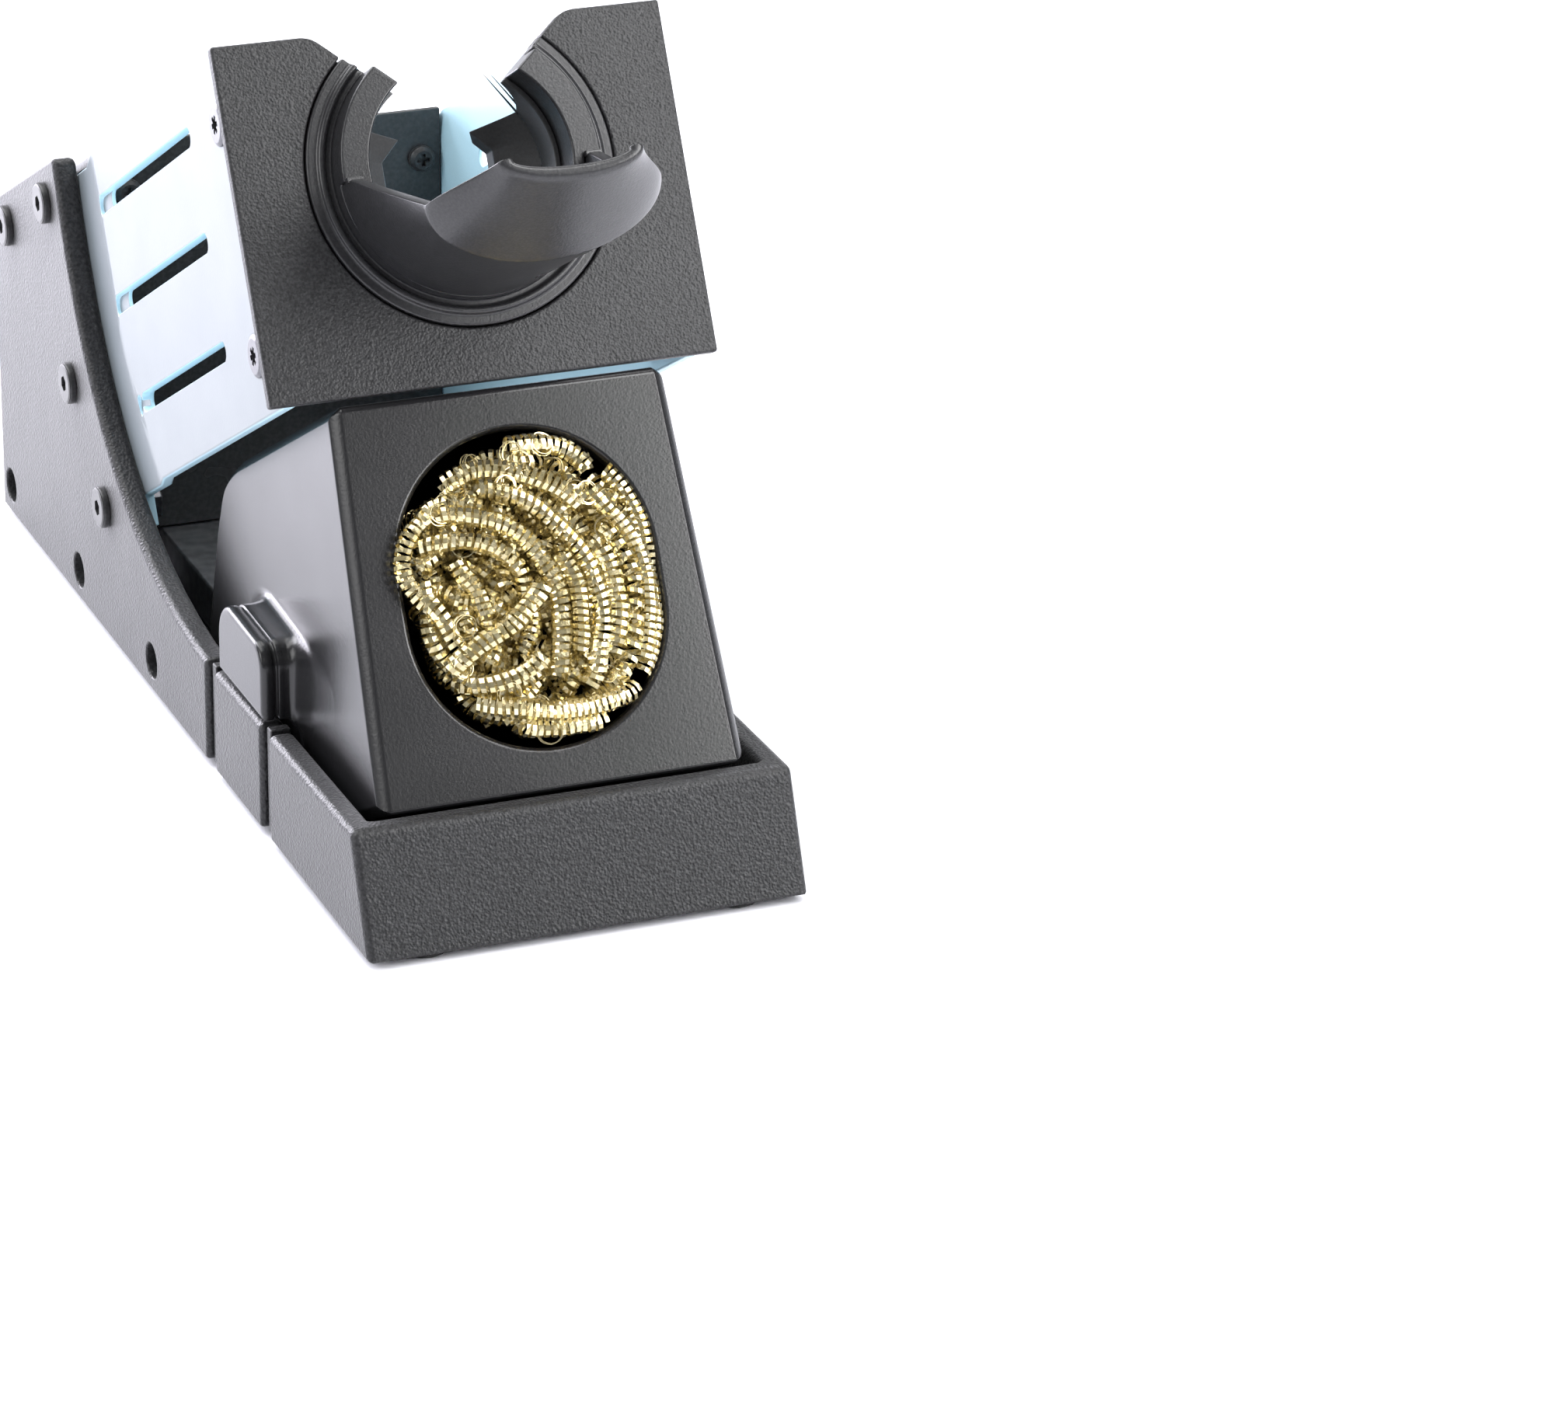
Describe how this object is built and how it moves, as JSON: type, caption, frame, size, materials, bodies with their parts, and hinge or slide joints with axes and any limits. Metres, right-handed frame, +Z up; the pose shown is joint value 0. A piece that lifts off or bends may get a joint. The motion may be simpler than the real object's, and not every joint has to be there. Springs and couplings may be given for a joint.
{
  "type": "soldering iron stand",
  "caption": "Weighted bench stand with slotted heat guards, a sloping front plate holding an iron holder with a spoon-shaped rest, and a slide-out tray of brass tip-cleaning wool.",
  "frame": {"origin": "middle of the overall box, on the table plane under the feet", "axes": "+X to the right side, front with the tray and the spoon rest faces -Y, +Y along the base's length to the back, +Z up"},
  "size_m": [0.0894, 0.243, 0.1504],
  "materials": {
    "dark_shell": "fine leather grain, satin",
    "holder": "fine grain, satin",
    "sleeve": "smooth, dull",
    "tray": "glossy with a very fine texture",
    "guard": "pale blue, satin",
    "black_screw": "black oxide, satin",
    "zinc": "zinc plated, bright",
    "ballast": "plain plate, dull",
    "foot": "soft, matt",
    "wool": "bright ribbon strands"
  },
  "bodies": {
    "stand": {"base_shell": "dark_shell", "ballast_plate": "ballast", "ballast_screws": "zinc", "foot_front_left": "foot", "foot_front_right": "foot", "foot_rear_left": "foot", "foot_rear_right": "foot", "rear_cover": "dark_shell", "cover_screws": "black_screw", "guard_left": "guard", "guard_right": "guard", "wall_screws": "black_screw", "wall_nuts": "zinc", "front_plate": "dark_shell", "plate_screws": "zinc", "plate_nuts": "zinc"},
    "tray": {"tray_body": "tray", "tray_back": "tray"},
    "wool": {"brass_wool": "wool"},
    "holder": {"holder_ring": "holder", "holder_scoop": "holder", "holder_sleeve": "sleeve"}
  },
  "joints": [
    {"name": "tray_slide", "type": "slide", "parent": "stand", "child": "tray", "axis": [0, -0.8788, 0.4772], "range_m": [0, 0.11]},
    {"name": "wool_pull", "type": "slide", "parent": "tray", "child": "wool", "axis": [0, -0.8788, 0.4772], "range_m": [0, 0.06]},
    {"name": "holder_pull", "type": "slide", "parent": "stand", "child": "holder", "axis": [0, -0.8788, 0.4772], "range_m": [0, 0.04]}
  ]
}
